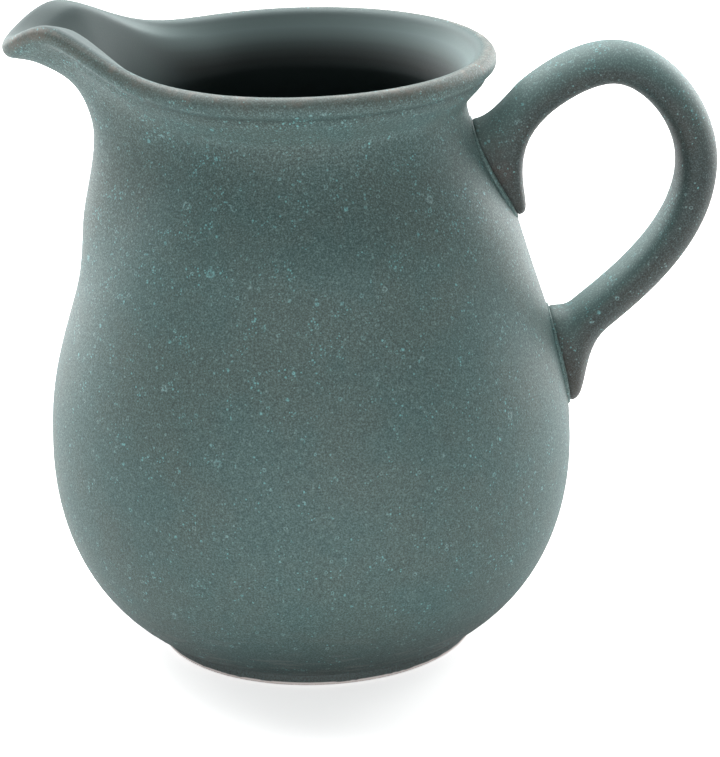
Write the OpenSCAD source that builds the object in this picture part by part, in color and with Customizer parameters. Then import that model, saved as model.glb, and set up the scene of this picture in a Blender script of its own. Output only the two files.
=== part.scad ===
// Thrown stoneware pitcher with a pulled spout and a pulled strap handle.
// Origin at the centre of the foot's resting plane, +Z up, spout towards -X, handle towards +X.

/* [Body] */
// Radius of the wall where it leaves the foot, mm
base_r = 45.6; // [38:0.1:55]
// Largest radius of the belly, mm
belly_r = 72.5; // [60:0.5:88]
// Height of the largest radius, mm
belly_z = 58; // [48:0.5:70]
// Radius of the shoulder, where the wall starts to turn in to the neck, mm
shoulder_r = 58.5; // [48:0.1:71]
// Height of the shoulder above the largest radius, mm
shoulder_rise = 62; // [51:0.5:75]
// Smallest radius of the neck, mm
neck_r = 45.1; // [37:0.1:55]
// Height of the neck above the shoulder, mm
neck_rise = 32.5; // [27:0.5:40]
// Slope of the wall where it leaves the foot, degrees above level
base_slope = 31; // [20:1:50]
// Lean of the wall at the shoulder, degrees from upright
shoulder_lean = 15; // [5:1:30]

/* [Wall] */
// Wall thickness from belly to neck, mm
wall_t = 4.6; // [3:0.1:7]
// Thickness of the floor, mm
floor_t = 6; // [4:0.1:10]
// Radius of the flat part of the floor, mm
floor_flat_r = 28; // [15:1:34]

/* [Rim] */
// How far the middle of the rolled lip stands out beyond the neck, mm
lip_spread = 5.2; // [3:0.1:12]
// Height of the middle of the lip above the neck, mm
lip_rise = 12.5; // [8:0.5:20]
// Radius of the rounded lip, mm
lip_bead = 3.1; // [2.4:0.1:3.8]
// Flare of the wall where it meets the lip, degrees from upright
lip_flare = 30; // [10:1:45]

/* [Spout] */
// Reach of the middle of the spout's tip beyond the lip, mm
spout_out = 26.8; // [20:0.1:36]
// How far below the shoulder the throat leaves the body, mm
throat_drop = 16; // [4:1:30]
// How far the throat stands out from the neck, mm
throat_out = 12.3; // [6:0.1:16]
// How slowly the throat starts, as a power
throat_power = 1.4; // [1.1:0.1:3]
// Rise of the tip above the rim, mm
tip_rise = 6.7; // [0:0.1:14]
// Rise of the two sides of the spout above the rim, mm
wing_rise = 13.1; // [4:0.1:20]
// Angle from the spout's middle to the highest point of each side, degrees
wing_angle = 13; // [8:1:24]
// Angle over which each side falls back to the rim, degrees
wing_fall = 17; // [10:1:30]
// Roundness of the spout's nose at the lip, degrees
nose_lip = 7.8; // [4:0.2:16]
// Roundness of the throat, degrees
nose_throat = 22; // [12:1:30]

/* [Foot ring] */
// Height of the foot ring, mm
foot_h = 3.5; // [2:0.1:6]
// Width of the foot ring, mm
foot_w = 5.4; // [4:0.1:9]
// How far the foot ring is set in from the wall above it, mm
foot_inset = 1.1; // [0.3:0.1:2]
// Rounding of the ring's lower outer edge, mm
foot_round = 0.9; // [0.3:0.1:1.2]

/* [Handle] */
// Thickness of the strap, from finger side to outer side, mm
strap_t = 11.7; // [9:0.1:15]
// Width of the strap across, mm
strap_w = 18; // [14:0.5:24]
// How far the middle of the upper root lies below the neck, mm
upper_root_drop = 19; // [15.5:0.5:26]
// How far the middle of the lower root lies below the shoulder, mm
lower_root_drop = 41; // [32:0.5:50]
// Height of the strap's middle line at the top of its arch, above the middle of the upper root, mm
arch_up = 28.8; // [22:0.2:38]
// Distance of the arch's top beyond the neck, mm
arch_out = 39.5; // [32:0.1:48]
// How far the strap's outermost point lies below the top of its arch, mm
sweep_drop = 28.8; // [22:0.2:36]
// Reach of the strap's middle line beyond the shoulder, mm
sweep_out = 49.5; // [41:0.1:60]
// Length of each root along the wall, mm
root_len = 27; // [22:0.5:34]
// Width of each root across the wall, mm
root_w = 22; // [18:0.5:28]

/* [Slip joints] */
// Thickness of the slip between root and wall, mm
slip_t = 0.8; // [0.4:0.1:1.6]
// Width of the slip squeezed out around each root, mm
slip_edge = 1.6; // [0.8:0.1:3]

/* [Detail] */
// Segments around the body
body_seg = 72; // [48:4:76]
// Segments around the strap
strap_seg = 28; // [16:4:36]

/* [Hidden] */

glaze_grey = [0.36, 0.45, 0.46];
bare_clay = [0.80, 0.72, 0.66];
slip_brown = [0.43, 0.44, 0.40];

// Heights of the wall, each stacked on the one below
shoulder_z = belly_z + shoulder_rise;
neck_z = shoulder_z + neck_rise;
lip_z = neck_z + lip_rise;
floor_z = foot_h + floor_t;

// The lip, the spout and the handle follow the wall that they stand on
lip_r = neck_r + lip_spread;
spout_reach = lip_r + spout_out;
throat_z = shoulder_z - throat_drop;
upper_root_z = neck_z - upper_root_drop;
lower_root_z = shoulder_z - lower_root_drop;
arch_z = upper_root_z + arch_up;
arch_x = neck_r + arch_out;
handle_z = arch_z - sweep_drop;
handle_reach = shoulder_r + sweep_out;

// Steps along each stretch of the meridian, and the crowding of its stations towards the spout
side_steps = 10;
flare_steps = 8;
bead_steps = 6;
angle_power = 1.25;

// Fullness of each bend of the meridian: the handle of its curve as a share of the bend's size
foot_bend = 1.2;
belly_bend_low = 0.12;
belly_bend_high = 0.39;
shoulder_bend_low = 0.5;
shoulder_bend_high = 0.3;
neck_bend_low = 0.25;
neck_bend_high = 0.26;
lip_bend = 0.44;
floor_wall_bend = 0.62;
floor_corner_bend = 0.66;
spout_bend_low = 0.45;
spout_bend_under = 0.46;
spout_bend_top = 0.38;
spout_bend_throat = 0.5;

// How gently the lip's rise starts at the neck and dies away past the spout, as powers
lift_power = 1.1;
fall_power = 1.5;

// A wall closer to the plain circle than this is taken as round
round_tol = 0.001;

// ---- curves ----

// Point of a cubic Bezier curve p at t
function bez(p, t) =
    pow(1 - t, 3) * p[0] + 3 * t * pow(1 - t, 2) * p[1]
    + 3 * t * t * (1 - t) * p[2] + t * t * t * p[3];

// Direction of a cubic Bezier curve p at t
function bez_dir(p, t) =
    let (d = pow(1 - t, 2) * (p[1] - p[0]) + 2 * t * (1 - t) * (p[2] - p[1]) + t * t * (p[3] - p[2]))
    d / norm(d);

// Steps points of a curve, from its start, leaving its end to the next curve
function run(p, steps) = [for (i = [0 : steps - 1]) bez(p, i / steps)];

function lean(a) = [-sin(a), cos(a)];
function smooth(t) = t * t * (3 - 2 * t);
function clamp01(t) = min(1, max(0, t));

// ---- meridian of the wall, as [radius, height] ----

foot_curve = [
    [base_r, foot_h],
    [base_r, foot_h] + (belly_r - base_r) * foot_bend * [cos(base_slope), sin(base_slope)],
    [belly_r, belly_z - (belly_z - foot_h) * belly_bend_low],
    [belly_r, belly_z]
];
belly_curve = [
    [belly_r, belly_z],
    [belly_r, belly_z + (shoulder_z - belly_z) * belly_bend_high],
    [shoulder_r, shoulder_z] - (shoulder_z - belly_z) * shoulder_bend_low * lean(shoulder_lean),
    [shoulder_r, shoulder_z]
];
shoulder_curve = [
    [shoulder_r, shoulder_z],
    [shoulder_r, shoulder_z] + (neck_z - shoulder_z) * shoulder_bend_high * lean(shoulder_lean),
    [neck_r, neck_z - (neck_z - shoulder_z) * neck_bend_low],
    [neck_r, neck_z]
];

// Where the flare ends and the rounded lip starts
lip_mid = [lip_r, lip_z];
lip_out = lip_mid + lip_bead * [cos(lip_flare), -sin(lip_flare)];
lip_in = lip_mid - lip_bead * [cos(lip_flare), -sin(lip_flare)];
flare_curve = [
    [neck_r, neck_z],
    [neck_r, neck_z + lip_rise * neck_bend_high],
    lip_out - lip_rise * lip_bend * [sin(lip_flare), cos(lip_flare)],
    lip_out
];

// The inner face, from the lip down to the floor
inner_flare = [
    lip_in,
    lip_in - lip_rise * lip_bend * [sin(lip_flare), cos(lip_flare)],
    [neck_r - wall_t, neck_z + lip_rise * neck_bend_high],
    [neck_r - wall_t, neck_z]
];
inner_shoulder = [
    [neck_r - wall_t, neck_z],
    [neck_r - wall_t, neck_z - (neck_z - shoulder_z) * neck_bend_low],
    [shoulder_r - wall_t, shoulder_z] + (neck_z - shoulder_z) * shoulder_bend_high * lean(shoulder_lean),
    [shoulder_r - wall_t, shoulder_z]
];
inner_belly = [
    [shoulder_r - wall_t, shoulder_z],
    [shoulder_r - wall_t, shoulder_z] - (shoulder_z - belly_z) * shoulder_bend_low * lean(shoulder_lean),
    [belly_r - wall_t, belly_z + (shoulder_z - belly_z) * belly_bend_high],
    [belly_r - wall_t, belly_z]
];
inner_foot = [
    [belly_r - wall_t, belly_z],
    [belly_r - wall_t, belly_z - (belly_z - floor_z) * floor_wall_bend],
    [floor_flat_r + (belly_r - floor_flat_r) * floor_corner_bend, floor_z],
    [floor_flat_r, floor_z]
];

function bead(mid, from) = [
    for (i = [0 : bead_steps])
        let (a = from + 180 * i / bead_steps)
        mid + lip_bead * [cos(a), sin(a)]
];

side_profile = concat(
    run(foot_curve, side_steps + 2),
    run(belly_curve, side_steps),
    run(shoulder_curve, side_steps),
    run(flare_curve, flare_steps),
    bead(lip_mid, -lip_flare),
    [for (i = [1 : flare_steps - 1]) bez(inner_flare, i / flare_steps)],
    run(inner_shoulder, side_steps - 2),
    run(inner_belly, side_steps - 2),
    run(inner_foot, side_steps + 2),
    [[floor_flat_r, floor_z]]
);

// ---- spout: how far each point of the meridian is pulled out in the middle of the spout ----

function throat_pull(z) = throat_out * pow(clamp01((z - throat_z) / (neck_z - throat_z)), throat_power);

throat_dir = [throat_out * throat_power / (neck_z - throat_z), 1];
tip_mid = [spout_reach, lip_z];
spout_flare = [
    [neck_r + throat_out, neck_z],
    [neck_r + throat_out, neck_z] + lip_rise * spout_bend_low * throat_dir,
    tip_mid - [(spout_reach - neck_r) * spout_bend_under, lip_bead],
    tip_mid - [0, lip_bead]
];
inner_spout_flare = [
    tip_mid + [0, lip_bead],
    tip_mid - [(spout_reach - neck_r) * spout_bend_top, -lip_bead],
    [neck_r - wall_t + throat_out, neck_z] + (lip_rise + lip_bead) * spout_bend_throat * throat_dir,
    [neck_r - wall_t + throat_out, neck_z]
];

function pulled(points) = [for (p = points) [p[0] + throat_pull(p[1]), p[1]]];

spout_profile = concat(
    run(foot_curve, side_steps + 2),
    pulled(run(belly_curve, side_steps)),
    pulled(run(shoulder_curve, side_steps)),
    run(spout_flare, flare_steps),
    bead(tip_mid, -90),
    [for (i = [1 : flare_steps - 1]) bez(inner_spout_flare, i / flare_steps)],
    pulled(run(inner_shoulder, side_steps - 2)),
    pulled(run(inner_belly, side_steps - 2)),
    run(inner_foot, side_steps + 2),
    [[floor_flat_r, floor_z]]
);

// Rise of the lip at angle a from the middle of the spout
function lip_lift(a) = abs(a) < wing_angle
    ? tip_rise + (wing_rise - tip_rise) * smooth(abs(a) / wing_angle)
    : wing_rise * exp(-pow((abs(a) - wing_angle) / wing_fall, fall_power));

// Share of that rise taken by a point whose height on the meridian is z
function lift_share(z) = pow(clamp01((z - neck_z) / (lip_out[1] - neck_z)), lift_power);

// Radius at angle a of a ring with radius r and reach e in the middle of the spout:
// a circle with two straight sides that meet in a rounded nose
function plan_r(r, e, a, nose) =
    e - r < round_tol ? r : r / cos(max(0, acos(r / e) + nose - sqrt(a * a + nose * nose)));

function ring_angle(i) =
    let (h = 1 - 2 * i / body_seg)
    180 * sign(h) * pow(abs(h), angle_power);

function wall_point(k, a) =
    let (
        p = side_profile[k],
        q = spout_profile[k],
        s = lift_share(p[1]),
        w = plan_r(p[0], q[0], a, nose_throat + (nose_lip - nose_throat) * s),
        h = q[0] - p[0] < round_tol ? 0 : (w - p[0]) / (q[0] - p[0])
    )
    [-w * cos(a), -w * sin(a), p[1] + (q[1] - p[1]) * h + lip_lift(a) * s];

// ---- body ----

module body() {
    rings = len(side_profile);
    points = [
        for (k = [0 : rings - 1])
            for (i = [0 : body_seg - 1])
                wall_point(k, ring_angle(i))
    ];
    sides = [
        for (k = [0 : rings - 2])
            for (i = [0 : body_seg - 1])
                let (
                    j = (i + 1) % body_seg,
                    a = k * body_seg + i,
                    b = k * body_seg + j,
                    c = b + body_seg,
                    d = a + body_seg
                )
                each [[a, b, c], [a, c, d]]
    ];
    underside = [[for (i = [body_seg - 1 : -1 : 0]) i]];
    floor_top = [[for (i = [0 : body_seg - 1]) (rings - 1) * body_seg + i]];
    color(glaze_grey)
        polyhedron(points = points, faces = concat(sides, underside, floor_top));
}

// ---- foot ring ----

foot_seg = 144;
foot_round_seg = 48;

// How far the ring's inner side slopes in over its height, as a share of the height
foot_slope = 0.35;

module foot_ring() {
    outer = base_r - foot_inset;
    inner = outer - foot_w;
    slope = foot_h * foot_slope;
    color(bare_clay)
        rotate_extrude($fn = foot_seg)
            difference() {
                polygon([
                    [inner + slope, 0],
                    [outer, 0],
                    [outer, foot_h],
                    [inner, foot_h]
                ]);
                translate([outer - foot_round, 0])
                    difference() {
                        square([foot_round * 2, foot_round]);
                        translate([0, foot_round])
                            circle(r = foot_round, $fn = foot_round_seg);
                    }
            }
}

// ---- handle ----

// Outer wall radius at height z on the handle's side
wall_table = [
    for (p = run(foot_curve, side_steps + 2)) [p[1], p[0]],
    for (curve = [belly_curve, shoulder_curve])
        for (p = run(curve, side_steps))
            [p[1], p[0]],
    for (p = run(flare_curve, flare_steps)) [p[1], p[0]]
];

function on_wall(y, z, off) = let (r = lookup(z, wall_table) + off) [sqrt(r * r - y * y), y, z];

// Where the strap's middle line leaves and meets the wall: depth into it, and rise above each root's middle
// as a share of the root's length
upper_depth = 2;
upper_offset = 0.25;
lower_offset = 0.18;

// Climb of the strap at each end, degrees, and how far it holds that direction, in strap thicknesses
upper_climb = 50;
lower_climb = 38;
upper_hold = 1.2;
lower_hold = 1.4;

// Fullness of the arch and of the outer sweep
arch_bend_near = 0.34;
arch_bend_far = 0.48;
sweep_bend_high = 0.5;
sweep_bend_low = 0.46;

// Middle line of the strap, in three curves in the XZ plane
upper_start = [lookup(upper_root_z, wall_table) - upper_depth, upper_root_z + root_len * upper_offset];
lower_end = [lookup(lower_root_z, wall_table), lower_root_z + root_len * lower_offset];
arch_rise = [
    upper_start,
    upper_start + strap_t * upper_hold * [cos(upper_climb), sin(upper_climb)],
    [arch_x - (arch_x - upper_start[0]) * arch_bend_near, arch_z],
    [arch_x, arch_z]
];
arch_fall = [
    [arch_x, arch_z],
    [arch_x + (handle_reach - arch_x) * arch_bend_far, arch_z],
    [handle_reach, handle_z + (arch_z - handle_z) * sweep_bend_high],
    [handle_reach, handle_z]
];
strap_fall = [
    [handle_reach, handle_z],
    [handle_reach, handle_z - (handle_z - lower_end[1]) * sweep_bend_low],
    lower_end + strap_t * lower_hold * [cos(lower_climb), sin(lower_climb)],
    lower_end
];
mid_line = [arch_rise, arch_fall, strap_fall];

// Where on the first and last curve the plain strap starts and ends, and the rings along each curve
rise_start = 0.42;
fall_end = 0.8;
rise_steps = 6;
arch_steps = 9;
fall_steps = 9;
strap_stations = concat(
    [for (i = [0 : rise_steps - 1]) [0, rise_start + (1 - rise_start) * i / rise_steps]],
    [for (i = [0 : arch_steps - 1]) [1, i / arch_steps]],
    [for (i = [0 : fall_steps]) [2, fall_end * i / fall_steps]]
);

// Strap section, widest nearer the finger side by this share of its half thickness
section_skew = 0.2;

// Point of the section: the first value points outwards, the second across
function section(i) =
    let (a = 360 * i / strap_seg)
    [strap_t / 2 * (cos(a) - section_skew * pow(sin(a), 2)), strap_w / 2 * sin(a)];

function strap_ring(station) =
    let (
        curve = mid_line[station[0]],
        m = bez(curve, station[1]),
        d = bez_dir(curve, station[1]),
        n = [-d[1], d[0]]
    )
    [for (i = [0 : strap_seg - 1]) let (s = section(i)) [m[0] + n[0] * s[0], s[1], m[1] + n[1] * s[0]]];

// Squareness of a root's outline across and along the wall: 1 is an ellipse, less is squarer
root_square_across = 0.8;
root_square_along = 0.9;

// Outline of a root on the wall, grown by g and standing off the wall by off; the first point is the
// one nearest the strap's outer side
function root_ring(z, flip, g, off) = [
    for (i = [0 : strap_seg - 1])
        let (
            a = 360 * i / strap_seg,
            v = (root_w / 2 + g) * sign(sin(a)) * pow(abs(sin(a)), root_square_across),
            h = (root_len / 2 + g) * sign(cos(a)) * pow(abs(cos(a)), root_square_along)
        )
        on_wall(v, z + flip * h, off)
];

upper_root = root_ring(upper_root_z, 1, 0, slip_t);
lower_root = root_ring(lower_root_z, -1, 0, slip_t);

// Rings that carry the strap's first or last section down to a root. The strap holds its direction for pull,
// and each root stands out from the wall for root_swell, in strap thicknesses
root_steps = 7;
root_swell = 0.42;
function root_blend(section_ring, dir, root, pull) = [
    for (k = [1 : root_steps])
        let (t = k / root_steps)
        [
            for (i = [0 : strap_seg - 1])
                let (
                    a = section_ring[i],
                    b = root[i],
                    out = [b[0], b[1], 0] / norm([b[0], b[1], 0])
                )
                bez([a, a + pull[i] * [dir[0], 0, dir[1]], b + strap_t * root_swell * out, b], t)
        ]
];

// Those pulls on the strap's outer side and on its finger side, in strap thicknesses
upper_pull_outer = 0.35;
upper_pull_inner = 1.3;
lower_pull_outer = 0.8;
lower_pull_inner = 0.35;

function pull_length(i, outer, inner) =
    let (w = (1 - cos(360 * i / strap_seg)) / 2)
    strap_t * (outer + (inner - outer) * w);

first_ring = strap_ring(strap_stations[0]);
last_ring = strap_ring(strap_stations[len(strap_stations) - 1]);
first_dir = -bez_dir(arch_rise, rise_start);
last_dir = bez_dir(strap_fall, fall_end);

upper_pull = [for (i = [0 : strap_seg - 1]) pull_length(i, upper_pull_outer, upper_pull_inner)];
lower_pull = [for (i = [0 : strap_seg - 1]) pull_length(i, lower_pull_outer, lower_pull_inner)];
upper_blend = root_blend(first_ring, first_dir, upper_root, upper_pull);
lower_blend = root_blend(last_ring, last_dir, lower_root, lower_pull);

handle_rings = concat(
    [for (k = [root_steps - 1 : -1 : 0]) upper_blend[k]],
    [for (s = strap_stations) strap_ring(s)],
    lower_blend
);

// Points inside a root's outline, in this many columns row by row, so that its face follows the wall
cap_cols = 6;
function cap_points(ring, off) = [
    for (i = [1 : strap_seg / 2 - 1])
        for (j = [1 : cap_cols - 1])
            let (p = ring[i])
            on_wall(p[1] * (1 - 2 * j / cap_cols), p[2], off)
];

// Faces of such a cap; ring points start at r0 and inner points at c0
function cap_faces(r0, c0) =
    let (
        half = strap_seg / 2,
        at = function(i, j)
            j == 0 ? r0 + i
            : j == cap_cols ? r0 + strap_seg - i
            : c0 + (i - 1) * (cap_cols - 1) + j - 1
    )
    concat(
        [for (j = [0 : cap_cols - 1]) [r0, at(1, j), at(1, j + 1)]],
        [
            for (i = [1 : half - 2])
                for (j = [0 : cap_cols - 1])
                    each [
                        [at(i, j), at(i + 1, j), at(i + 1, j + 1)],
                        [at(i, j), at(i + 1, j + 1), at(i, j + 1)]
                    ]
        ],
        [for (j = [0 : cap_cols - 1]) [r0 + half, at(half - 1, j + 1), at(half - 1, j)]]
    );

function flipped(faces) = [for (f = faces) [f[0], f[2], f[1]]];

function tube_faces(rings) = [
    for (k = [0 : rings - 2])
        for (i = [0 : strap_seg - 1])
            let (
                j = (i + 1) % strap_seg,
                a = k * strap_seg + i,
                b = k * strap_seg + j,
                c = b + strap_seg,
                d = a + strap_seg
            )
            each [[a, b, c], [a, c, d]]
];

module handle() {
    rings = len(handle_rings);
    ring_points = [for (ring = handle_rings) each ring];
    start_cap = cap_points(handle_rings[0], slip_t);
    end_cap = cap_points(handle_rings[rings - 1], slip_t);
    count = len(ring_points);
    color(glaze_grey)
        polyhedron(
            points = concat(ring_points, start_cap, end_cap),
            faces = concat(
                tube_faces(rings),
                flipped(cap_faces(0, count)),
                cap_faces((rings - 1) * strap_seg, count + len(start_cap))
            )
        );
}

// ---- slip joints ----

// Slip under one root and squeezed out around it
module slip(z, flip, root) {
    edge = root_ring(z, flip, slip_edge, 0);
    top_cap = cap_points(root, slip_t);
    wall_cap = cap_points(edge, 0);
    count = 2 * strap_seg;
    faces = concat(
        tube_faces(2),
        flipped(cap_faces(0, count)),
        cap_faces(strap_seg, count + len(top_cap))
    );
    color(slip_brown)
        polyhedron(
            points = concat(root, edge, top_cap, wall_cap),
            faces = flip > 0 ? flipped(faces) : faces
        );
}

module upper_slip() {
    slip(upper_root_z, 1, upper_root);
}

module lower_slip() {
    slip(lower_root_z, -1, lower_root);
}

body();
foot_ring();
handle();
upper_slip();
lower_slip();
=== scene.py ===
# %% [markdown]
# # A stoneware pitcher
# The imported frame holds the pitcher's five solids at their real sizes. This script keeps their places and
# gives each one the shape and the skin that a potter and a kiln would: a soft rolled lip, a strap handle
# luted on with slip, and a satin glaze full of small turquoise crystals. Everything is in metres, with the
# origin at the centre of the foot, the spout towards -X and the handle towards +X.

# %% Load the frame
import math

import bmesh
import bpy
from mathutils import Matrix, Vector, noise


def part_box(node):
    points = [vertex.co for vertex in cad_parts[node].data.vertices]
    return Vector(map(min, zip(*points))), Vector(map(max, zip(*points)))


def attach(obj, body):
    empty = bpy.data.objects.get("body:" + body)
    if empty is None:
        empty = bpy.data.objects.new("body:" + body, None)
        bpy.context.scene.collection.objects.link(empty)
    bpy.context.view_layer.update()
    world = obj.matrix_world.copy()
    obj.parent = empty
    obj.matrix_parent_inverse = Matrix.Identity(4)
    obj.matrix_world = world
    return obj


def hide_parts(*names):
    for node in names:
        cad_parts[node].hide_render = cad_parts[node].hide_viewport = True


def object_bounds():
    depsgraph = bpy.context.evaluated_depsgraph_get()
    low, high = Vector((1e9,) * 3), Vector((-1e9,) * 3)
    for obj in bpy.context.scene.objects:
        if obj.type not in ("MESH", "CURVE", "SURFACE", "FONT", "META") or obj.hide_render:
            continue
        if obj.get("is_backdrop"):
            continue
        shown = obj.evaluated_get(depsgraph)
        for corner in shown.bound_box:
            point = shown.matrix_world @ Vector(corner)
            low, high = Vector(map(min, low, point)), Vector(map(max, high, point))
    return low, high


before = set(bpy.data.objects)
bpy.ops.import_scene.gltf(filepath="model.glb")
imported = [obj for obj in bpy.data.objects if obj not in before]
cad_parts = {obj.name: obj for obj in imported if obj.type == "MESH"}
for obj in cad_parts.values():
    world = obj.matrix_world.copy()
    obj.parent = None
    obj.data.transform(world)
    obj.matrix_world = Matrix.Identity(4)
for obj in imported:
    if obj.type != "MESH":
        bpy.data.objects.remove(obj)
cad_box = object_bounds()
print("nodes in the frame:", sorted(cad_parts))
print("size of the frame:", [round(high - low, 4) for low, high in zip(*cad_box)])

# %% [markdown]
# ## Driving sizes
# The foot's height and radius are measured on the frame. The other sizes are the potter's own numbers for
# the throwing, the same as in the part's design. Each height is stacked on the one below, and the spout
# and the handle are placed from the wall that they stand on, so a taller belly carries them up with it.

# %% Sizes measured on the frame, and the sizes of the throwing
MM = 0.001

_, foot_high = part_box("foot_ring")
foot_h = foot_high.z
foot_r = foot_high.x

base_r = 45.6 * MM
belly_r = 72.5 * MM
belly_z = 58 * MM
shoulder_r = 58.5 * MM
shoulder_z = belly_z + 62 * MM
neck_r = 45.1 * MM
neck_z = shoulder_z + 32.5 * MM
base_slope = math.radians(31)
shoulder_lean = math.radians(15)
wall_t = 4.6 * MM
floor_z = foot_h + 6 * MM
floor_flat_r = 28 * MM

lip_r = neck_r + 5.2 * MM
lip_rise = 12.5 * MM
lip_z = neck_z + lip_rise
lip_bead = 3.1 * MM
lip_flare = math.radians(30)

spout_reach = lip_r + 26.8 * MM
throat_z = shoulder_z - 16 * MM
throat_out = 12.3 * MM
throat_power = 1.4
tip_rise = 6.7 * MM
wing_rise = 13.1 * MM
wing_angle = math.radians(13)
wing_fall = math.radians(17)
nose_lip = math.radians(7.8)
nose_throat = math.radians(22)

strap_t = 11.7 * MM
strap_w = 18 * MM
upper_root_z = neck_z - 19 * MM
lower_root_z = shoulder_z - 41 * MM
arch_z = upper_root_z + 28.8 * MM
arch_x = neck_r + 39.5 * MM
handle_z = arch_z - 28.8 * MM
handle_reach = shoulder_r + 49.5 * MM
root_len = 27 * MM
root_w = 22 * MM
slip_t = 0.8 * MM

print("foot:", round(foot_r / MM, 1), "mm radius,", round(foot_h / MM, 1), "mm high")

# %% [markdown]
# ## Curves by hand
# A thrown profile has no straight lines, so each stretch of the wall is one cubic Bezier curve, the same
# four-point curve that the pen tool draws. Two small helpers are enough: a point at a share of the way
# along, and a run of evenly spread points.

# %% Curve helpers
def at(curve, t):
    """The point of a cubic curve at a share t of the way along."""
    a, b, c, d = curve
    return (1 - t) ** 3 * a + 3 * t * (1 - t) ** 2 * b + 3 * t * t * (1 - t) * c + t**3 * d


def heading(curve, t):
    """The direction of a cubic curve at t."""
    a, b, c, d = curve
    return ((1 - t) ** 2 * (b - a) + 2 * t * (1 - t) * (c - b) + t * t * (d - c)).normalized()


def run(curve, steps):
    """Points along a curve, from its start, leaving its end to the next curve."""
    return [at(curve, i / steps) for i in range(steps)]


def smooth(t):
    return t * t * (3 - 2 * t)


def clamp01(t):
    return min(1.0, max(0.0, t))


def aim(angle):
    """A unit step at an angle above level."""
    return Vector((math.cos(angle), math.sin(angle)))


arch_test = [Vector(corner) for corner in ((0, 0), (0, 1), (1, 1), (1, 0))]
print("halfway along a test curve:", at(arch_test, 0.5))

# %% [markdown]
# ## The profile of the wall
# On the wheel the wall is one line turned round an axis, so its outline is drawn once, as radius and
# height: out along the underside, up the belly, over the rolled lip and down the inside to the floor. A
# second outline says where the same points lie in the middle of the spout, which a potter pulls out of
# the soft rim with a wet finger. Both lists have the same number of points, so that every ring can later
# be stretched from one to the other.

# %% The outer curves at the side
SIDE_STEPS = 9
FLARE_STEPS = 15
BEAD_STEPS = 12
EDGE = 0.55 * MM

lean = aim(math.pi / 2 + shoulder_lean)
base = Vector((base_r, foot_h))
belly = Vector((belly_r, belly_z))
shoulder = Vector((shoulder_r, shoulder_z))
neck = Vector((neck_r, neck_z))
thin = Vector((wall_t, 0))
lip_mid = Vector((lip_r, lip_z))
lip_side = aim(-lip_flare) * lip_bead
flare_up = aim(math.pi / 2 - lip_flare)

foot_curve = [
    base,
    base + (belly_r - base_r) * 1.2 * aim(base_slope),
    belly - Vector((0, (belly_z - foot_h) * 0.12)),
    belly,
]
belly_curve = [
    belly,
    belly + Vector((0, (shoulder_z - belly_z) * 0.39)),
    shoulder - (shoulder_z - belly_z) * 0.5 * lean,
    shoulder,
]
shoulder_curve = [
    shoulder,
    shoulder + (neck_z - shoulder_z) * 0.3 * lean,
    neck - Vector((0, (neck_z - shoulder_z) * 0.25)),
    neck,
]
flare_curve = [
    neck,
    neck + Vector((0, lip_rise * 0.26)),
    lip_mid + lip_side - lip_rise * 0.44 * flare_up,
    lip_mid + lip_side,
]
print("lip's middle at the side, mm:", [round(value / MM, 1) for value in lip_mid])

# %% The same wall from the inside
inner_flare = [
    lip_mid - lip_side,
    lip_mid - lip_side - lip_rise * 0.44 * flare_up,
    neck - thin + Vector((0, lip_rise * 0.26)),
    neck - thin,
]
inner_shoulder = [corner - thin for corner in reversed(shoulder_curve)]
inner_belly = [corner - thin for corner in reversed(belly_curve)]
inner_foot = [
    belly - thin,
    belly - thin - Vector((0, (belly_z - floor_z) * 0.62)),
    Vector((floor_flat_r + (belly_r - floor_flat_r) * 0.66, floor_z)),
    Vector((floor_flat_r, floor_z)),
]
print("the inside starts", round(wall_t / MM, 1), "mm in from the outside")

# %% The flare in the middle of the spout
throat_up = Vector((throat_out * throat_power / (neck_z - throat_z), 1))
throat_neck = neck + Vector((throat_out, 0))
tip_mid = Vector((spout_reach, lip_z))
tip_low = Vector((0, lip_bead))
spout_flare = [
    throat_neck,
    throat_neck + lip_rise * 0.45 * throat_up,
    tip_mid - tip_low - Vector(((spout_reach - neck_r) * 0.46, 0)),
    tip_mid - tip_low,
]
inner_spout_flare = [
    tip_mid + tip_low,
    tip_mid + tip_low - Vector(((spout_reach - neck_r) * 0.38, 0)),
    throat_neck - thin + (lip_rise + lip_bead) * 0.5 * throat_up,
    throat_neck - thin,
]
print("the spout's tip lies", round((spout_reach - lip_r) / MM, 1), "mm past the round lip")


# %% The rolled lip, the bulge of the throat and the underside
def bead(middle, start):
    """The half circle of a rolled lip, from its outer to its inner side."""
    return [middle + lip_bead * aim(start + math.pi * i / BEAD_STEPS) for i in range(BEAD_STEPS)]


def pulled(points, out):
    """The same points where the throat bulges towards the spout."""
    result = []
    for radius, height in points:
        rise = clamp01((height - throat_z) / (neck_z - throat_z))
        result.append(Vector((radius + out * rise**throat_power, height)))
    return result


underside = [
    Vector((0, foot_h + 0.9 * MM)),
    Vector((foot_r * 0.45, foot_h + 0.8 * MM)),
    Vector((foot_r * 0.8, foot_h + 0.2 * MM)),
    Vector((foot_r - 2 * MM, foot_h)),
    base - Vector((EDGE, 0)),
]
low_wall = run(foot_curve, SIDE_STEPS + 3)[1:]
inside_low = run(inner_foot, SIDE_STEPS + 2)
floor_run = [Vector((floor_flat_r * share, floor_z)) for share in (1, 0.72, 0.4, 0)]
print("points under the foot:", len(underside), "- up to the belly:", len(low_wall))

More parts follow.
